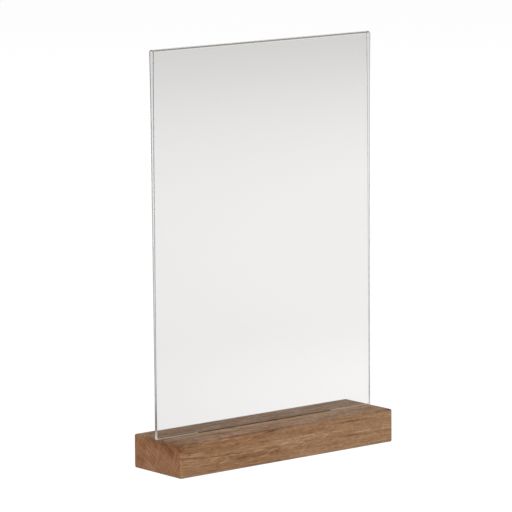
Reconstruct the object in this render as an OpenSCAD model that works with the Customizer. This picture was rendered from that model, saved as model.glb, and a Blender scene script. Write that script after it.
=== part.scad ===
// Card holder: a folded clear sheet that plugs into a solid wood block.
// The origin is the centre of the block's underside, with +Z up and the front towards -Y.

/* [Wooden base] */
// Depth of the base, front to back
base_d = 58; // [40:0.5:90]
// Height of the base
base_h = 26.5; // [20:0.5:45]
// Radius that eases the base's edges
edge_r = 1.5; // [0.5:0.1:4]

/* [Acrylic pocket] */
// Width of the folded sheet, side to side
pocket_w = 215; // [150:0.5:330]
// How far the folded sheet stands out past each end of the base
overhang = 0.75; // [0:0.25:3]
// Height of the folded sheet above the base
pocket_h = 299; // [180:1:450]
// Thickness of the sheet
sheet_t = 1.2; // [1:0.1:3]
// Inside radius of the fold along the top
fold_r = 1.8; // [0.5:0.1:4]
// Room for the card between the two leaves, where they run side by side
card_gap = 0.2; // [0.1:0.1:1]
// Height above the base at which the two leaves start to part
part_h = 40; // [0:5:160]
// Share of the parting that comes evenly from there on; the rest is the swell below the fold
lean_share = 0.55; // [0.2:0.05:1]
// How sharply the leaves swell out below the fold
swell_power = 12; // [2:1:20]

/* [Tab and slot] */
// Width of the tab that plugs into the base
tab_w = 135; // [60:1:145]
// Length of the tab below the shoulders that rest on the base
tab_h = 15; // [6:0.5:18]
// Gap between the tab and each long wall of the slot
slot_side_gap = 0.45; // [0.1:0.05:1]
// Gap between each end of the tab and the start of the slot's round end
slot_end_gap = 0.3; // [0:0.1:3]
// Gap between the tab and the slot's floor
slot_floor_gap = 1; // [0.2:0.1:1.5]

/* [Hidden] */
$fn = 64;
// How far a cut runs past the face that it opens
overrun = 1;
// Straight steps that draw each leaf's curve
leaf_steps = 12;

// Length of the base, side to side
base_l = pocket_w - 2 * overhang;
// Height of the fold's centre above the base
fold_h = pocket_h - fold_r - sheet_t;
// Distance from the mid plane to a leaf's outer face, side by side and at the fold
closed_y = card_gap / 2 + sheet_t;
fold_y = fold_r + sheet_t;
// Width and depth of the slot that takes both leaves of the tab
slot_w = 2 * (closed_y + slot_side_gap);
slot_depth = tab_h + slot_floor_gap;

// Share of the way that the leaves have parted, at a share s of their free height
function parted(s) = lean_share * s + (1 - lean_share) * pow(s, swell_power);

// A leaf's outer face at height h above the base: it leans out slowly, then swells to meet the fold
function leaf_y(h) = closed_y + (fold_y - closed_y) * parted((h - part_h) / (fold_h - part_h));

// Heights of the curve's points, closer together towards the fold
function curve_heights() =
    [for (i = [0 : leaf_steps]) part_h + (fold_h - part_h) * (1 - pow(1 - i / leaf_steps, 2))];

// Rectangle with round corners, centred
module eased_rect(w, h) {
    square([w - 2 * edge_r, h], center = true);
    square([w, h - 2 * edge_r], center = true);
    for (x = [-1, 1], y = [-1, 1])
        translate([x * (w / 2 - edge_r), y * (h / 2 - edge_r)]) circle(r = edge_r);
}

// Block with all twelve edges eased, centred
module eased_block() {
    intersection() {
        linear_extrude(base_h, center = true) eased_rect(base_l, base_d);
        rotate([90, 0, 0]) linear_extrude(base_d, center = true) eased_rect(base_l, base_h);
        rotate([90, 0, 90]) linear_extrude(base_l, center = true) eased_rect(base_d, base_h);
    }
}

// Space cut by a router bit as wide as the slot, with its floor at zero
module slot_space() {
    reach = tab_w / 2 + slot_end_gap;
    translate([-reach, -slot_w / 2, 0]) cube([2 * reach, slot_w, slot_depth + overrun]);
    for (side = [-1, 1])
        translate([side * reach, 0, 0]) cylinder(d = slot_w, h = slot_depth + overrun);
}

// Section through the back leaf from its foot to the fold, with the shoulders at zero
module leaf_section() {
    outer = concat([[closed_y, -tab_h]], [for (h = curve_heights()) [leaf_y(h), h]]);
    inner = [for (i = [len(outer) - 1 : -1 : 0]) [outer[i].x - sheet_t, outer[i].y]];
    polygon(concat(outer, inner));
}

// Section through the fold: the half ring that joins the two leaves
module fold_section() {
    translate([0, fold_h])
        difference() {
            intersection() {
                circle(r = fold_y);
                translate([-fold_y, 0]) square([2 * fold_y, fold_y]);
            }
            circle(r = fold_r);
        }
}

// Solid block with a blind slot along the middle of its top
module oak_base() {
    color([0.57, 0.44, 0.33])
        difference() {
            translate([0, 0, base_h / 2]) eased_block();
            translate([0, 0, base_h - slot_depth]) slot_space();
        }
}

// A section of the sheet drawn out over its whole width, above the base
module drawn_out() {
    color([0.88, 0.9, 0.9, 0.45])
        translate([0, 0, base_h]) rotate([90, 0, 90]) linear_extrude(pocket_w, center = true) children();
}

// Space below the shoulders, where a leaf is cut back at both sides of its tab
module beside_tab() {
    shoulder_l = (pocket_w - tab_w) / 2;
    for (side = [-1, 1])
        translate([side * (tab_w + shoulder_l + overrun) / 2, 0, base_h - (tab_h + overrun) / 2])
            cube([shoulder_l + overrun, 2 * (closed_y + overrun), tab_h + overrun], center = true);
}

// The sheet is one piece, folded double. Its leaves and its fold are nodes of their own that meet face to face,
// so that the room between the leaves stays open.
module back_leaf() {
    difference() {
        drawn_out() leaf_section();
        beside_tab();
    }
}

module front_leaf() {
    mirror([0, 1, 0]) back_leaf();
}

module top_fold() {
    drawn_out() fold_section();
}

oak_base();
front_leaf();
back_leaf();
top_fold();
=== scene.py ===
"""Looks of a card holder: a clear folded acrylic sheet standing in an oiled oak block."""

import math

import bmesh
import bpy
from mathutils import Matrix, Vector


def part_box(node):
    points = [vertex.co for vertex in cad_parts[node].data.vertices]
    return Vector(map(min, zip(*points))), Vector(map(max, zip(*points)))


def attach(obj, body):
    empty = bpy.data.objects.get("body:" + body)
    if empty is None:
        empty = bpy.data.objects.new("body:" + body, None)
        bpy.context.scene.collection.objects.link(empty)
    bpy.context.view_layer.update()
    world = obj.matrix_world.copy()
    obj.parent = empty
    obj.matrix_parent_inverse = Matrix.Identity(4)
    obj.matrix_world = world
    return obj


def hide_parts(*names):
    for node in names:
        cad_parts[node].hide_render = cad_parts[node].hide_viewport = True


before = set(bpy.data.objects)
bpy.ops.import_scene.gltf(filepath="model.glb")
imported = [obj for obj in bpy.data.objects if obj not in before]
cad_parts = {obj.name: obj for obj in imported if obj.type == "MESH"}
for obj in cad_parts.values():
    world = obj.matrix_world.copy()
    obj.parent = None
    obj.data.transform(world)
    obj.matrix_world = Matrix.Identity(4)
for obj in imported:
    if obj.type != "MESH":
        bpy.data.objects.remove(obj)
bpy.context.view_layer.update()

MM = 0.001

# Sizes that the frame gives
base_low, base_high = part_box("oak_base")
fold_low, fold_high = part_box("top_fold")
tab_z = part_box("front_leaf")[0].z
seat_z = base_high.z
fold_r = fold_high.y
fold_z = fold_high.z - fold_r

# Sizes of the folded sheet, as in its solid
SHEET_T = 1.2 * MM
CARD_GAP = 0.2 * MM
PART_H = 40 * MM
LEAN_SHARE = 0.55
SWELL_POWER = 12
TAB_W = 135 * MM

# Finer shapes of the sheet: the steps of its curve and of its fold, the break of its cut corners, and how far
# it stands off the wood, so that no two faces lie in one place
CURVE_STEPS = 32
FOLD_STEPS = 16
EDGE_BREAK = 0.12 * MM
SEAT_GAP = 0.04 * MM

# Sizes of the wood block, as in its solid
EDGE_R = 1.5 * MM
SLOT_SIDE_GAP = 0.45 * MM
SLOT_END_GAP = 0.3 * MM
SLOT_FLOOR_GAP = 1.0 * MM

# Finer shapes of the block: the steps of its eased edges and round its slot, and the break of the slot's lip
EDGE_STEPS = 6
SLOT_ROUND_STEPS = 32
SLOT_BREAK = 0.25 * MM

# Shaping: the steps of a broken corner, the turn below which two faces shade as one and the turn above which
# they meet in a corner, how much a face looks sideways or down where it is sawn, and how near points are
# welded
BREAK_STEPS = 2
SMOOTH_TURN = math.radians(30)
CORNER_TURN = math.radians(60)
SAWN_FACING = 0.3
WELD = 0.001 * MM

# The camera that fits the photograph: its sensor, its focal length in pixels of the photograph's width, its
# place and its angles
SENSOR_MM = 36
PHOTO_WIDTH = 512
PHOTO_FOCAL = 3754
CAMERA_PLACE = Vector((-1818.9, -2232.7, 612.0)) * MM
CAMERA_TURN = math.radians(-39.048)
CAMERA_RISE = math.radians(8.973)
CAMERA_ROLL = math.radians(-0.456)

# Soft lamps: name, place in metres and power in watts; then the side of each, and where all of them point
LAMPS = (
    ("key_softbox", (-0.7, -2.2, 2.6), 78),
    ("fill_softbox", (-2.3, -0.7, 1.3), 22),
    ("back_softbox", (1.4, 1.8, 1.7), 9),
)
LAMP_SIDE = 1.6
LAMP_AIM = Vector((0, 0, 0.1))

# In this script a range is four numbers: two that a value lies between, and the two that these turn into

# Studio paper: half of its side in metres; its own grey; the dark grey that takes the object's shadow where
# the paper is looked at, and the glow over it; and its white in gloss and glass
PAPER_REACH = 12
PAPER = "#e6e6e6"
PAPER_SEEN = "#6a6a6a"
PAPER_GLOW = 0.94
PAPER_MIRRORED = "#fffefd"

# What gloss and glass see of the floor: where it is brightest, in metres, and the range of its light with the
# distance from there; and the same for a faint pool of light beside the object
FLOOR_BRIGHTEST = (1.7, 0, 0)
FLOOR_FALLOFF = (1.3, 2.85, 0.895, 0.6)
POOL_BRIGHTEST = (0.3, 0, 0)
POOL_FALLOFF = (0.15, 0.46, 0.08, 0)

# The room round the paper: its tones from the horizon up, a little warm near the ground
ROOM_TONES = ((0.0, "#f3eeea"), (0.12, "#e7e1dc"), (0.35, "#a0a0a0"), (0.7, "#6c6c6c"))

# Settings that more than one node has
SMOOTH = {"interpolation_type": "SMOOTHSTEP"}
EVEN = {"interpolation_type": "LINEAR"}
TIMES = {"operation": "MULTIPLY"}
TIMES_PLUS = {"operation": "MULTIPLY_ADD"}
UNSIGNED = {"operation": "ABSOLUTE"}
DISTANCE = {"operation": "DISTANCE"}
DOT = {"operation": "DOT_PRODUCT"}
HELD = {"vector_type": "TEXTURE"}
COLOURS = {"data_type": "RGBA"}

# Where a node that mixes colours has them among its inputs, and the mixed one among its outputs
FIRST, SECOND, MIXED = 6, 7, 2

# Clear acrylic: how it bends light, its tint, and the tint of light that goes through one face of it to what
# lies behind
ACRYLIC_IOR = 1.49
ACRYLIC_TINT = "#fdfdfd"
SHEET_SHADOW = "#ececec"

# Marks on the sheet: the slant of wipe marks and hairlines in degrees, their sizes in millimetres sideways,
# front to back and upwards, and the size and depth of the slow waves of the hot bend. Hairlines are drawn
# coarser than real ones, so that they show.
WIPE_SLANT = 40
WIPE_MM = (44, 80, 15)
HAIRLINE_MM = (40, 4, 0.3)
WAVE_MM = (30, 30, 45)
WAVE_DEPTH = 0.04 * MM

# The sheet's sawn edges: the size and depth of the saw's marks, their painted light and shade from the wood
# up, by the share of the height, the painted lighter tone of the far edge and its share in the mix, and the
# range of the light that goes through
SAW_MARK_MM = (1.5, 0.5, 0.25)
SAW_MARK_DEPTH = 0.02 * MM
EDGE_PAINTED_LIGHT = (
    (0, "#f4ece8"), (0.016, "#e8e0dc"), (0.031, "#84807e"),
    (0.057, "#9a9796"), (0.097, "#d0cfcf"), (0.16, "#e6e5e5"),
    (0.6, "#edecec"), (0.8, "#dcdcdd"), (1, "#cacacc"),
)
FAR_EDGE_PAINTED_LIGHT = "#e8e6e4"
FAR_EDGE_SHARE = 0.4
EDGE_THROUGH = (0, 0.03, 0.25, 0.55)

# Oak: how it bends light, its tones from dark to light along the block and in its end grain, the tint of its
# redder places, the grey of painted shade on its eased edges and the most that they take of it, and the depth
# of its relief
OAK_IOR = 1.5
OAK_SIDE = ((0, "#5f3410"), (0.2, "#774f2c"), (0.5, "#926e4b"), (0.8, "#ac8d6c"))
OAK_END = ((0.2, "#68401e"), (0.5, "#885a37"), (0.8, "#9f7758"))
OAK_RED = "#fff2e6"
OAK_ARRIS_PAINTED_SHADE = "#6f6459"
MOST_ARRIS_SHADE = 0.28
OAK_RELIEF = 0.05 * MM

# This board on that scale from dark to light: its middle, how much the end grain adds, and how much the heart
# side takes away, between two depths among the growth rings in millimetres
OAK_MIDDLE = 0.41
OAK_END_PALER = 0.14
HEART_DEPTHS = (22, 34)
HEART_DARKER = 0.04

# How much a face looks along the block where end grain starts and where it is whole, and the range of the
# figure's strength on faces that look up or down
END_FACING = (0.7, 0.95)
UPWARD_FIGURE = (0.5, 0.9, 1, 1.6)

# Growth rings: the way across them in the end of the block, the way along them, their spacing in millimetres
# and how far it drifts, in radians of a ring's wave
RING_NORMAL = (0.0, -0.454, 0.891)
RING_ALONG = (0.0, 0.891, 0.454)
RING_MM = 2.2
RING_DRIFT = 5

# The one dark ring of the front and the pale early wood below it: how deep the dark one lies, and how far
# from its middle each is whole and gone, all in millimetres
DARK_RING = 24.75
DARK_RING_REACH = (0.15, 0.55)
PALE_RING_REACH = (0.2, 0.7)

# How far the grain bends, in millimetres, and its course, in shares of the block's length and of the bend
BEND_MM = 6
GRAIN_BEND = (
    (0, 0.23), (0.17, 0.55), (0.34, 0.6), (0.5, 0.62), (0.6, 0.53),
    (0.65, 0.41), (0.71, 0.65), (0.83, 0.77), (1, 0.95),
)

# Sizes of the oak's patterns in millimetres: along the block, front to back and upwards. Fibres and pores are
# drawn coarser than real ones, so that they show. An area is where a pattern comes and goes.
STREAK_MM = (18, 0.8, 1.1)
SHORT_MM = (4, 0.9, 1.4)
FIBRE_MM = (12, 0.4, 0.4)
PORE_MM = (4.5, 0.45, 0.45)
DASH_MM = (6, 2, 1)
DASH_AREA_MM = (35, 12, 8)
CLOUD_MM = (60, 14, 10)
PATCH_MM = (26, 12, 4)
RED_MM = (16, 16, 5)
WANDER_MM = (50, 40, 40)
RIPPLE_MM = (8, 14, 6)
RIPPLE_AREA_MM = (30, 20, 7)
DRIFT_MM = (40, 20, 9)
DARK_RING_AREA_MM = (25, 9, 9)
PALE_RING_AREA_MM = (16, 9, 9)

# The same for what follows the growth rings: along the block, along the rings and across them
UNEVEN_MM = (150, 50, 0.9)
GROWTH_MM = (150, 26, 1.9)
FIGURE_MM = (5, 6, 1.6)
RAY_MM = (60, 1.4, 16)
PIT_MM = (60, 1.1, 0.8)

# Shares of a spot's half size at which it is still whole and at which it is gone, and how much a noise adds
# to that share, which makes the border ragged
SPOT_FADE = (0.5, 1.1)
SPOT_RAGGED = 0.9

# Where this board is redder: place and size in millimetres, turn about X and Y in degrees, and how much
RED_PLACES = (
    ((-44, -29, 23), (46, 30, 7), (0, 4), 0.6),
    ((-38, -29, 8), (30, 20, 5), (0, 0), 0.6),
    ((30, -29, 21), (30, 20, 5), (0, 0), 0.6),
    ((84, -29, 7), (34, 20, 6), (0, 0), 0.6),
    ((-107, -20, 22), (20, 16, 9), (0, 0), 0.6),
    ((-17, -28.8, 25.4), (12, 7, 2.4), (0, 0), 0.6),
)

# Where it is paler or darker, with how much paler at the end: its ray flecks, dark spots and small knot, its
# broad patches, the pale band before the slot, and painted light on the slot's walls, which lifts the shade
# in the slot
TONE_PLACES = (
    ((-107, -12, 26), (20, 46, 20), (0, 0), -0.13),
    ((-107, -22, 4), (20, 20, 14), (0, 0), 0.05),
    ((-86, -29, 22.5), (64, 20, 9), (0, 0), -0.12),
    ((0, -29, 16), (260, 20, 7), (0, 0), 0.05),
    ((-93, -29, 14.5), (36, 16, 1.1), (0, 5), -0.3),
    ((-97, -29, 13.1), (24, 16, 1.2), (0, 5), 0.34),
    ((-95, -29, 16.9), (28, 16, 3.6), (0, 2), 0.2),
    ((-107, -15, 19.5), (20, 32, 8), (27, 0), -0.15),
    ((-107, 19, 7.5), (20, 15, 1.8), (20, 0), -0.14),
    ((-107, 3, 24), (20, 26, 3), (8, 0), -0.1),
    ((-107, -15, 27), (70, 40, 8), (0, 0), -0.1),
    ((107, -16, 27), (40, 30, 8), (0, 0), -0.08),
    ((-100, -29, 17.3), (7, 16, 1.0), (0, 0), -0.3),
    ((-74.5, -29, 11), (13, 16, 1.3), (0, -15), 0.3),
    ((-64, -29, 8.2), (14, 16, 1.5), (0, -16), 0.22),
    ((-43.5, -29, 20.6), (22, 16, 1.6), (0, -20), 0.2),
    ((-29, -29, 12.1), (14, 16, 1.5), (0, 0), 0.34),
    ((-33, -29, 9), (54, 20, 5), (0, 0), -0.14),
    ((-17, -29, 10.2), (10, 16, 1.1), (0, -12), 0.36),
    ((-10.5, -29, 9.2), (6, 16, 1.0), (0, -25), -0.25),
    ((-17, -28.8, 25.5), (14, 7, 1.8), (0, -4), -0.6),
    ((-4, -29, 13.6), (11, 16, 1.8), (0, -8), 0.34),
    ((12, -29, 12.2), (12, 16, 1.4), (0, -4), 0.26),
    ((37, -29, 14), (12, 16, 1.4), (0, -20), 0.28),
    ((74, -29, 13), (22, 16, 1.5), (0, 0), 0.26),
    ((101, -29, 12.6), (14, 16, 1.1), (0, 0), 0.3),
    ((70, -29, 22.4), (54, 16, 1.4), (0, 0), -0.24),
    ((-107, -0.5, 13), (20, 1.2, 30), (19, 0), 0.22),
    ((-107, -20.5, 12), (20, 1.0, 22), (19, 0), 0.2),
    ((-107, 10, 13), (20, 1.0, 26), (24, 0), 0.16),
    ((-8, -6, 27), (140, 10, 5), (0, 0), 0.22),
    ((36, -29, 8), (52, 20, 6), (0, 0), -0.12),
    # Painted light on the slot's walls, against the shade in the slot
    ((0, 0, 18), (190, 8, 18), (0, 0), 0.35),
)


def linear(code):
    """Linear colour, with an alpha of 1, of an sRGB hex value."""
    channels = [int(code[i : i + 2], 16) / 255 for i in (1, 3, 5)]
    return [c / 12.92 if c <= 0.04045 else ((c + 0.055) / 1.055) ** 2.4 for c in channels] + [1.0]


def add(tree, kind, settings=None, inputs=()):
    """A new node of a kind, with its settings, and its inputs by name or in order: values, or outputs that
    are linked to it."""
    node = tree.nodes.new(kind)
    for name, value in (settings or {}).items():
        setattr(node, name, value)
    for name, value in inputs.items() if isinstance(inputs, dict) else enumerate(inputs):
        if isinstance(value, bpy.types.NodeSocket):
            tree.links.new(value, node.inputs[name])
        else:
            node.inputs[name].default_value = value
    return node


def material(name):
    """A new node material, with its tree emptied, and its output node."""
    made = bpy.data.materials.new(name)
    made.use_nodes = True
    made.node_tree.nodes.clear()
    return made, add(made.node_tree, "ShaderNodeOutputMaterial")


def millimetres(tree):
    """The place on a piece, in millimetres."""
    place = add(tree, "ShaderNodeTexCoord").outputs["Object"]
    return add(tree, "ShaderNodeVectorMath", {"operation": "SCALE"}, {0: place, "Scale": 1 / MM}).outputs[0]


def grain(tree, source, size, levels=None, detail=2.0, rough=0.5, warp=0.0):
    """Noise about zero, with grains of a size in millimetres for each way. Where levels are given, they are a
    range that carries the noise from between their first two values to between their last two."""
    squeezed = add(tree, "ShaderNodeVectorMath", {"operation": "DIVIDE"}, (source, size))
    noise = add(tree, "ShaderNodeTexNoise", inputs={
        "Vector": squeezed.outputs[0], "Scale": 1.0, "Detail": detail, "Roughness": rough, "Distortion": warp,
    })
    kind, levels = (SMOOTH, levels) if levels else (EVEN, (0, 1, -0.5, 0.5))
    return add(tree, "ShaderNodeMapRange", kind, (noise.outputs["Fac"], *levels)).outputs[0]


def summed(tree, start, *patterns):
    """A start value, with each pattern added to it times its share."""
    total = start
    for pattern, share in patterns:
        total = add(tree, "ShaderNodeMath", TIMES_PLUS, (pattern, share, total)).outputs[0]
    return total


def spotted(tree, point, start, ragged, places):
    """A start value, with a soft spot added at each place: its share inside an ellipsoid of its size and
    turn, and nothing outside. A noise makes its border ragged."""
    total = start
    for centre, size, turn, share in places:
        held = add(tree, "ShaderNodeMapping", HELD, {
            "Vector": point, "Location": centre, "Scale": [s / 2 for s in size],
            "Rotation": (math.radians(turn[0]), math.radians(turn[1]), 0),
        })
        reach = add(tree, "ShaderNodeVectorMath", {"operation": "LENGTH"}, (held.outputs[0],))
        wavering = summed(tree, reach.outputs["Value"], (ragged, SPOT_RAGGED))
        spot = add(tree, "ShaderNodeMapRange", SMOOTH, (wavering, *SPOT_FADE, 1, 0)).outputs[0]
        total = summed(tree, total, (spot, share))
    return total


def tones(tree, value, stops):
    """The colour of a value, between stops that each give a value and an sRGB hex colour."""
    ramp = add(tree, "ShaderNodeValToRGB", inputs=(value,))
    elements = ramp.color_ramp.elements
    for place, code in stops[1:-1]:
        elements.new(place).color = linear(code)
    for end in (0, -1):
        elements[end].position, elements[end].color = stops[end][0], linear(stops[end][1])
    return ramp.outputs[0]


def piece(name, bm, materials):
    """A finished object from a bmesh, with smooth faces between sharp edges."""
    for edge in bm.edges:
        edge.smooth = edge.calc_face_angle(0) < SMOOTH_TURN
    for face in bm.faces:
        face.smooth = True
    mesh = bpy.data.meshes.new(name)
    bm.to_mesh(mesh)
    bm.free()
    for finish in materials:
        mesh.materials.append(finish)
    made = bpy.data.objects.new(name, mesh)
    bpy.context.scene.collection.objects.link(made)
    true_faces = made.modifiers.new("true_flat_faces", "WEIGHTED_NORMAL")
    true_faces.keep_sharp = True
    return made


def draw_out(bm, edges, way):
    """Draws edges out along a way, with new faces behind them, and gives the new edges."""
    drawn = bmesh.ops.extrude_edge_only(bm, edges=edges)["geom"]
    bmesh.ops.translate(bm, verts=[g for g in drawn if isinstance(g, bmesh.types.BMVert)], vec=way)
    return [g for g in drawn if isinstance(g, bmesh.types.BMEdge)]


def corners(bm):
    """The edges where two faces meet in a corner."""
    return [e for e in bm.edges if e.calc_face_angle(0) > CORNER_TURN]


def ease(bm, edges, size, steps):
    """Rounds edges off by a size, in steps."""
    bmesh.ops.bevel(
        bm, geom=edges, offset=size, offset_type="OFFSET", affect="EDGES",
        segments=steps, profile=0.5, material=-1,
    )


def leaf_y(h):
    """A leaf's outer face at height h above the base, as in its solid."""
    closed = CARD_GAP / 2 + SHEET_T
    share = max(h - PART_H, 0) / (fold_z - seat_z - PART_H)
    return closed + (fold_r - closed) * (LEAN_SHARE * share + (1 - LEAN_SHARE) * share**SWELL_POWER)


def folded_sheet(face_material, edge_material):
    """The sheet: half of its outer skin is drawn up from the tab's foot and round the fold, mirrored, drawn
    out, cut to its tab and thickened."""
    bm = bmesh.new()
    span = fold_z - seat_z - PART_H
    curve = [PART_H + span * (1 - (1 - i / CURVE_STEPS) ** 2) for i in range(CURVE_STEPS + 1)]
    heights = [tab_z - seat_z + SEAT_GAP, SEAT_GAP] + curve
    tip = bm.verts.new((fold_low.x, -leaf_y(heights[0]), seat_z + heights[0]))
    for h in heights[1:]:
        tip = bmesh.ops.extrude_vert_indiv(bm, verts=[tip])["verts"][0]
        tip.co = (fold_low.x, -leaf_y(h), seat_z + h)
    bmesh.ops.spin(
        bm, geom=[tip], cent=(0, 0, fold_z), axis=(1, 0, 0), angle=-math.pi / 2,
        steps=FOLD_STEPS, use_duplicate=False,
    )
    bmesh.ops.mirror(bm, geom=bm.verts[:] + bm.edges[:], axis="Y", merge_dist=WELD)
    bmesh.ops.remove_doubles(bm, verts=bm.verts[:], dist=WELD)
    draw_out(bm, bm.edges[:], (fold_high.x - fold_low.x, 0, 0))

    # The tab: what lies beside it, below the shoulders, is cut away
    for side in (-1, 1):
        bmesh.ops.bisect_plane(
            bm, geom=bm.verts[:] + bm.edges[:] + bm.faces[:], dist=WELD,
            plane_co=(side * TAB_W / 2, 0, 0), plane_no=(1, 0, 0),
        )
    middles = {face: face.calc_center_median() for face in bm.faces}
    beside = [face for face, middle in middles.items() if abs(middle.x) > TAB_W / 2 and middle.z < seat_z]
    bmesh.ops.delete(bm, geom=beside, context="FACES")

    # The wall grows inwards, so the skin has to look outwards
    bmesh.ops.recalc_face_normals(bm, faces=bm.faces[:])
    front = min(bm.faces, key=lambda face: face.calc_center_median().y)
    if front.normal.y > 0:
        bmesh.ops.reverse_faces(bm, faces=bm.faces[:])
    bmesh.ops.solidify(bm, geom=bm.faces[:], thickness=SHEET_T)
    ease(bm, corners(bm), EDGE_BREAK, BREAK_STEPS)
    for face in bm.faces:
        at_foot = face.calc_center_median().z < seat_z + PART_H
        if abs(face.normal.x) > SAWN_FACING or at_foot and face.normal.z < -SAWN_FACING:
            face.material_index = 1
    return piece("folded_acrylic_sheet", bm, [face_material, edge_material])


def oak_block(wood):
    """The block: its top goes from the slot's mouth out to its brim, both are drawn down, and the edges are
    eased."""
    bm = bmesh.new()
    slot_r = leaf_y(0) + SLOT_SIDE_GAP
    reach = TAB_W / 2 + SLOT_END_GAP
    mouth = bmesh.ops.create_circle(bm, cap_ends=False, segments=SLOT_ROUND_STEPS, radius=slot_r)["verts"]
    for vert in mouth:
        vert.co.x += math.copysign(reach, vert.co.x)
    mouth_edges = bm.edges[:]
    brim = bmesh.ops.create_grid(bm, x_segments=1, y_segments=1, size=1)["verts"]
    for vert in brim:
        vert.co.x *= base_high.x
        vert.co.y *= base_high.y
    bmesh.ops.delete(bm, geom=bm.faces[:], context="FACES_ONLY")
    brim_edges = [e for e in bm.edges if e not in mouth_edges]
    bmesh.ops.bridge_loops(bm, edges=mouth_edges + brim_edges)
    bmesh.ops.translate(bm, verts=bm.verts[:], vec=(0, 0, seat_z))
    for edges, depth in ((brim_edges, seat_z - base_low.z), (mouth_edges, seat_z - tab_z + SLOT_FLOOR_GAP)):
        bmesh.ops.holes_fill(bm, edges=draw_out(bm, edges, (0, 0, -depth)))
    bmesh.ops.recalc_face_normals(bm, faces=bm.faces[:])

    def clear_of_slot(edge):
        return all(abs(v.co.x) > reach + slot_r or abs(v.co.y) > 2 * slot_r for v in edge.verts)

    ease(bm, [e for e in corners(bm) if clear_of_slot(e)], EDGE_R, EDGE_STEPS)
    lip = [e for e in corners(bm) if min(v.co.z for v in e.verts) > seat_z - WELD]
    ease(bm, lip, SLOT_BREAK, BREAK_STEPS)
    return piece("oak_block", bm, [wood])


def let_light_through(tree, output, shader):
    """Links clear acrylic to its output. Light goes on through it to what lies behind, so that its shadow is
    pale."""
    rays = add(tree, "ShaderNodeLightPath")
    passed = add(tree, "ShaderNodeBsdfTransparent", inputs=(linear(SHEET_SHADOW),))
    mix = add(tree, "ShaderNodeMixShader", inputs=(
        rays.outputs["Is Shadow Ray"], shader.outputs[0], passed.outputs[0],
    ))
    tree.links.new(mix.outputs[0], output.inputs["Surface"])


def clear_acrylic():
    """Cast acrylic sheet: water clear and glossy. It has the slow waviness of a sheet that was bent hot, and
    the hairlines and faint wipe marks of one that was handled."""
    made, output = material("cast_acrylic_clear")
    tree = made.node_tree
    point = millimetres(tree)
    slanted = add(tree, "ShaderNodeMapping", HELD, {
        "Vector": point, "Rotation": (0, math.radians(WIPE_SLANT), 0),
    }).outputs[0]
    wipes = grain(tree, slanted, WIPE_MM, (0.45, 0.65, 0, 1), detail=1)
    hairlines = grain(tree, slanted, HAIRLINE_MM, (0.55, 0.75, 0, 1))
    waves = grain(tree, point, WAVE_MM, detail=1)
    bump = add(tree, "ShaderNodeBump", inputs={"Strength": 1.0, "Distance": WAVE_DEPTH, "Height": waves})
    shader = add(tree, "ShaderNodeBsdfPrincipled", inputs={
        "Base Color": linear(ACRYLIC_TINT), "IOR": ACRYLIC_IOR, "Normal": bump.outputs[0],
        "Roughness": summed(tree, 0.0, (hairlines, 0.03), (wipes, 0.02)), "Transmission Weight": 1.0,
    })
    let_light_through(tree, output, shader)
    return made


def acrylic_edge():
    """Sawn and scraped edge of the sheet: satin, with fine tool marks. Its colour is painted light and shade:
    greyer than the faces, as the sheet seen end on; light at its foot, dark just above the wood, and from
    there up pale again, a little greyer towards the fold; and lighter towards the far edge."""
    made, output = material("cast_acrylic_edge")
    tree = made.node_tree
    point = millimetres(tree)
    place = add(tree, "ShaderNodeSeparateXYZ", inputs=(point,))
    height = (seat_z / MM, fold_high.z / MM, 0, 1)
    rise = add(tree, "ShaderNodeMapRange", EVEN, (place.outputs["Z"], *height)).outputs[0]
    rightward = (0, fold_high.x / MM, 0, FAR_EDGE_SHARE)
    far = add(tree, "ShaderNodeMapRange", EVEN, (place.outputs["X"], *rightward)).outputs[0]
    through = add(tree, "ShaderNodeMapRange", EVEN, (rise, *EDGE_THROUGH)).outputs[0]
    marks = grain(tree, point, SAW_MARK_MM)
    bump = add(tree, "ShaderNodeBump", inputs={"Strength": 0.3, "Distance": SAW_MARK_DEPTH, "Height": marks})
    # Painted light and shade: the edge's tones by height, and a lighter tone towards the far edge
    colour = add(tree, "ShaderNodeMix", COLOURS, {
        "Factor": far,
        FIRST: tones(tree, summed(tree, rise, (marks, 0.02)), EDGE_PAINTED_LIGHT),
        SECOND: linear(FAR_EDGE_PAINTED_LIGHT),
    })
    shader = add(tree, "ShaderNodeBsdfPrincipled", inputs={
        "Base Color": colour.outputs[MIXED], "IOR": ACRYLIC_IOR, "Normal": bump.outputs[0],
        "Roughness": summed(tree, 0.4, (marks, 0.3)), "Transmission Weight": through,
    })
    let_light_through(tree, output, shader)
    return made


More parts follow.
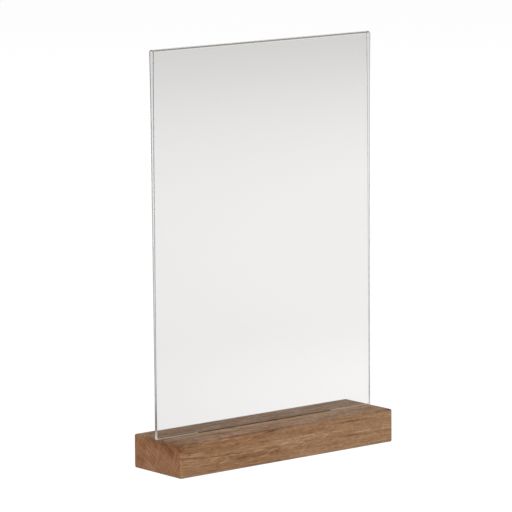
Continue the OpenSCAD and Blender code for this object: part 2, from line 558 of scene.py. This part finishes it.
def bent_grain(tree, point):
    """Where a place lies in the grain: its share of the block's length, how deep it is among the growth
    rings, and its place along the block, along the rings and across them. The grain bends along the block,
    with a slow wander and a short wave on it."""
    along = add(tree, "ShaderNodeSeparateXYZ", inputs=(point,)).outputs["X"]
    half_l = base_high.x / MM
    share = add(tree, "ShaderNodeMapRange", EVEN, (along, -half_l, half_l, 0, 1)).outputs[0]
    bend = add(tree, "ShaderNodeFloatCurve", inputs={"Value": share})
    curve = bend.mapping.curves[0]
    curve.points[0].location = GRAIN_BEND[0]
    curve.points[1].location = GRAIN_BEND[-1]
    for stop in GRAIN_BEND[1:-1]:
        curve.points.new(*stop)
    bend.mapping.update()
    wander = grain(tree, point, WANDER_MM, (0.2, 0.8, -0.5, 0.5), detail=1)
    lively = grain(tree, point, RIPPLE_AREA_MM, (0.4, 0.62, 0.15, 1.2), detail=1)
    ripple = grain(tree, point, RIPPLE_MM, (0.25, 0.75, -0.6, 0.6))
    wave = add(tree, "ShaderNodeMath", TIMES, (ripple, lively)).outputs[0]
    tilt = add(tree, "ShaderNodeVectorMath", DOT, (point, RING_NORMAL)).outputs["Value"]
    depth = summed(tree, -BEND_MM / 2, (tilt, 1), (bend.outputs[0], BEND_MM), (wander, 1), (wave, 1))
    across = add(tree, "ShaderNodeVectorMath", DOT, (point, RING_ALONG)).outputs["Value"]
    return share, depth, add(tree, "ShaderNodeCombineXYZ", inputs=(along, across, depth)).outputs[0]


def ring(tree, depth, middle, reach, area):
    """One growth ring at a depth of its own: whole and gone as far from its middle as its reach says, and
    only where its area lets it show."""
    off = add(tree, "ShaderNodeMath", UNSIGNED, (summed(tree, -middle, (depth, 1)),)).outputs[0]
    band = add(tree, "ShaderNodeMapRange", SMOOTH, (off, *reach, 1, 0)).outputs[0]
    return add(tree, "ShaderNodeMath", TIMES, (band, area)).outputs[0]


def growth_rings(tree, point, depth):
    """The even growth rings, the one dark ring of the front, and the pale early wood below it."""
    phase = summed(tree, 0.0, (depth, 2 * math.pi / RING_MM), (grain(tree, point, DRIFT_MM), RING_DRIFT))
    even = add(tree, "ShaderNodeMath", {"operation": "SINE"}, (phase,)).outputs[0]
    dark_area = grain(tree, point, DARK_RING_AREA_MM, (0.4, 0.55, 0.3, 1), detail=1)
    pale_area = grain(tree, point, PALE_RING_AREA_MM, (0.45, 0.6, 0, 1))
    dark = ring(tree, depth, DARK_RING, DARK_RING_REACH, dark_area)
    pale = ring(tree, depth, DARK_RING - RING_MM / 2, PALE_RING_REACH, pale_area)
    return even, dark, pale


def facing(tree):
    """How much a face looks along the block, either way, and how much it looks up or down."""
    normal = add(tree, "ShaderNodeTexCoord").outputs["Normal"]
    unsigned = add(tree, "ShaderNodeVectorMath", UNSIGNED, (normal,)).outputs[0]
    ways = add(tree, "ShaderNodeSeparateXYZ", inputs=(unsigned,))
    return ways.outputs["X"], ways.outputs["Z"]


def edge_painted_shade(tree, upward):
    """How much painted shade the eased edges of the top and the underside take. A face there looks neither
    level nor straight up or down, and how much it looks up times what that lacks of one is greatest, a
    quarter, half way."""
    lacking = summed(tree, 1.0, (upward, -1))
    arris = add(tree, "ShaderNodeMath", TIMES, (upward, lacking)).outputs[0]
    return add(tree, "ShaderNodeMapRange", EVEN, (arris, 0, 0.25, 0, MOST_ARRIS_SHADE)).outputs[0]


def oiled_oak():
    """Planed and oiled oak, satin. Growth rings lie tilted in the darker, redder end grain, and run out along
    the block as a soft figure with fine dark streaks and pores, and the pale slanting flecks of the rays. The
    oil leaves the hard pale wood glossier than the open dark wood, so that the figure still shows where light
    glances off it. Its eased edges are greyer with painted shade."""
    made, output = material("oiled_oak")
    tree = made.node_tree
    point = millimetres(tree)
    share, depth, rings_at = bent_grain(tree, point)
    even, dark_ring, pale_ring = growth_rings(tree, point, depth)
    lengthways, upward = facing(tree)

    # Streaks, fibres and pores, which run along the block, its broad clouds and patches, and its flecks
    streaks = grain(tree, point, STREAK_MM, detail=4, rough=0.6)
    short = grain(tree, point, SHORT_MM)
    fibres = grain(tree, point, FIBRE_MM, detail=3, rough=0.6)
    pores = grain(tree, point, PORE_MM, (0.62, 0.74, 0, 1))
    clouds = grain(tree, point, CLOUD_MM)
    patches = grain(tree, point, PATCH_MM)
    dashes = grain(tree, point, DASH_MM, (0.6, 0.7, 0, 1), detail=1)
    dash_area = grain(tree, point, DASH_AREA_MM, (0.48, 0.6, 0, 1), detail=1)
    flecks = add(tree, "ShaderNodeMath", TIMES, (dashes, dash_area)).outputs[0]

    # What follows the rings: the uneven rings and the fine figure, and in the end grain the rays, the rows of
    # pits and the broad growth
    uneven = grain(tree, rings_at, UNEVEN_MM, rough=0.55)
    figure = grain(tree, rings_at, FIGURE_MM, detail=3, rough=0.6, warp=0.6)
    rays = grain(tree, rings_at, RAY_MM, detail=3, rough=0.7, warp=0.3)
    pits = grain(tree, rings_at, PIT_MM)
    growth = grain(tree, rings_at, GROWTH_MM, detail=3, rough=0.8)

    # The board's own places, and how dark or light the wood is in each, along the block and in its end grain
    heart = add(tree, "ShaderNodeMapRange", SMOOTH, (depth, *HEART_DEPTHS, 0, 1)).outputs[0]
    middle = summed(tree, OAK_MIDDLE, (heart, -HEART_DARKER))
    tone = spotted(tree, point, middle, short, TONE_PLACES)
    redder = spotted(tree, point, grain(tree, point, RED_MM, (0.35, 0.7, 0, 0.6)), short, RED_PLACES)
    side = summed(
        tree, 0.0, (even, 0.03), (uneven, 0.4), (streaks, 0.5), (short, 0.4), (fibres, 0.4), (clouds, 0.3),
        (patches, 0.3), (figure, 0.45), (share, 0.1), (flecks, 0.16), (pores, -0.14), (dark_ring, -0.3),
        (pale_ring, 0.1),
    )
    boost = add(tree, "ShaderNodeMapRange", SMOOTH, (upward, *UPWARD_FIGURE)).outputs[0]
    side_tone = add(tree, "ShaderNodeMath", TIMES_PLUS, (side, boost, tone)).outputs[0]
    end_tone = summed(
        tree, OAK_END_PALER, (tone, 1), (even, 0.12), (uneven, 0.3), (growth, 0.6), (rays, 0.6),
        (clouds, 0.45), (fibres, 0.3), (pits, 0.6), (dark_ring, -0.2),
    )

    # The colour: side or end grain, tinted in the redder places, and greyer at the eased edges with painted
    # shade
    end = add(tree, "ShaderNodeMapRange", SMOOTH, (lengthways, *END_FACING, 0, 1)).outputs[0]
    wood = add(tree, "ShaderNodeMix", COLOURS, {
        "Factor": end, FIRST: tones(tree, side_tone, OAK_SIDE), SECOND: tones(tree, end_tone, OAK_END),
    })
    ruddy = add(tree, "ShaderNodeMix", {**COLOURS, "blend_type": "MULTIPLY"}, {
        "Factor": redder, FIRST: wood.outputs[MIXED], SECOND: linear(OAK_RED),
    })
    colour = add(tree, "ShaderNodeMix", COLOURS, {
        "Factor": edge_painted_shade(tree, upward), FIRST: ruddy.outputs[MIXED], SECOND: linear(OAK_ARRIS_PAINTED_SHADE),
    })

    relief = summed(tree, 0.0, (fibres, 0.6), (streaks, 0.4), (pores, -1))
    bump = add(tree, "ShaderNodeBump", inputs={"Strength": 0.25, "Distance": OAK_RELIEF, "Height": relief})
    shader = add(tree, "ShaderNodeBsdfPrincipled", inputs={
        "Base Color": colour.outputs[MIXED], "IOR": OAK_IOR, "Normal": bump.outputs[0],
        "Roughness": summed(tree, 0.43, (streaks, -0.3), (figure, -0.45), (uneven, -0.4), (patches, -0.2)),
        "Specular IOR Level": summed(tree, 0.5, (end, -0.25)),
    })
    tree.links.new(shader.outputs[0], output.inputs["Surface"])
    return made


def paper_floor():
    """White studio paper that glows: seen directly it is white but for the object's faint shadow, and gloss
    and glass see it grow darker away from the object. The light that it throws back is that of plain
    paper."""
    made, output = material("white_studio_paper")
    tree = made.node_tree
    rays = add(tree, "ShaderNodeLightPath")
    mirrored = add(tree, "ShaderNodeMath", {"operation": "ADD", "use_clamp": True}, (
        rays.outputs["Is Glossy Ray"], rays.outputs["Is Transmission Ray"],
    ))
    place = add(tree, "ShaderNodeTexCoord").outputs["Object"]
    away = add(tree, "ShaderNodeVectorMath", DISTANCE, (place, FLOOR_BRIGHTEST)).outputs["Value"]
    falloff = add(tree, "ShaderNodeMapRange", EVEN, (away, *FLOOR_FALLOFF)).outputs[0]
    beside = add(tree, "ShaderNodeVectorMath", DISTANCE, (place, POOL_BRIGHTEST)).outputs["Value"]
    pool = add(tree, "ShaderNodeMapRange", SMOOTH, (beside, *POOL_FALLOFF)).outputs[0]
    reflected = add(tree, "ShaderNodeEmission", inputs={
        "Color": linear(PAPER_MIRRORED), "Strength": summed(tree, falloff, (pool, 1)),
    })
    paper = add(tree, "ShaderNodeBsdfDiffuse", inputs={"Color": linear(PAPER)})
    in_gloss = add(tree, "ShaderNodeMixShader", inputs=(
        mirrored.outputs[0], paper.outputs[0], reflected.outputs[0],
    ))
    shaded = add(tree, "ShaderNodeBsdfDiffuse", inputs={"Color": linear(PAPER_SEEN)})
    glow = add(tree, "ShaderNodeEmission", inputs={"Color": (1, 1, 1, 1), "Strength": PAPER_GLOW})
    seen = add(tree, "ShaderNodeAddShader", inputs=(shaded.outputs[0], glow.outputs[0]))
    mix = add(tree, "ShaderNodeMixShader", inputs=(
        rays.outputs["Is Camera Ray"], in_gloss.outputs[0], seen.outputs[0],
    ))
    tree.links.new(mix.outputs[0], output.inputs["Surface"])
    return made


def studio():
    """White paper underfoot, a pale room that grows dark overhead, and soft lamps."""
    bm = bmesh.new()
    bmesh.ops.create_grid(bm, x_segments=1, y_segments=1, size=PAPER_REACH)
    floor = piece("floor", bm, [paper_floor()])

    # The room is white where it is looked at, and has its own tones for what it lights or is mirrored in
    world = bpy.data.worlds.new("studio")
    bpy.context.scene.world = world
    world.use_nodes = True
    tree = world.node_tree
    tree.nodes.clear()
    output = add(tree, "ShaderNodeOutputWorld")
    rays = add(tree, "ShaderNodeLightPath")
    way = add(tree, "ShaderNodeTexCoord").outputs["Generated"]
    rise = add(tree, "ShaderNodeSeparateXYZ", inputs=(way,)).outputs["Z"]
    room = add(tree, "ShaderNodeBackground", inputs={"Color": tones(tree, rise, ROOM_TONES), "Strength": 1.0})
    white = add(tree, "ShaderNodeBackground", inputs={"Color": (1, 1, 1, 1), "Strength": 1.0})
    mix = add(tree, "ShaderNodeMixShader", inputs=(
        rays.outputs["Is Camera Ray"], room.outputs[0], white.outputs[0],
    ))
    tree.links.new(mix.outputs[0], output.inputs["Surface"])

    # The lamps are left out of gloss and glass, which show the paper and the room alone
    for name, place, power in LAMPS:
        light = bpy.data.lights.new(name, "AREA")
        light.shape = "SQUARE"
        light.size = LAMP_SIDE
        light.energy = power
        lamp = bpy.data.objects.new(name, light)
        lamp.location = place
        lamp.rotation_euler = (LAMP_AIM - Vector(place)).to_track_quat("-Z", "Y").to_euler()
        lamp.visible_glossy = False
        lamp.visible_transmission = False
        bpy.context.scene.collection.objects.link(lamp)


def photo_camera():
    """The camera where the photograph was taken from, with its long lens."""
    camera = bpy.data.cameras.new("camera")
    camera.sensor_width = SENSOR_MM
    camera.lens = SENSOR_MM * PHOTO_FOCAL / PHOTO_WIDTH
    made = bpy.data.objects.new("camera", camera)
    turn = Matrix.Rotation(CAMERA_TURN, 4, "Z")
    tilt = Matrix.Rotation(math.pi / 2 - CAMERA_RISE, 4, "X")
    roll = Matrix.Rotation(CAMERA_ROLL, 4, "Z")
    made.matrix_world = Matrix.Translation(CAMERA_PLACE) @ turn @ tilt @ roll
    bpy.context.scene.collection.objects.link(made)
    bpy.context.scene.camera = made


bpy.context.scene.view_settings.view_transform = "Standard"
photo_camera()
studio()
sheet = folded_sheet(clear_acrylic(), acrylic_edge())
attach(sheet, "pocket")
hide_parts("front_leaf", "back_leaf", "top_fold")
block = oak_block(oiled_oak())
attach(block, "base")
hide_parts("oak_base")
bpy.context.view_layer.update()
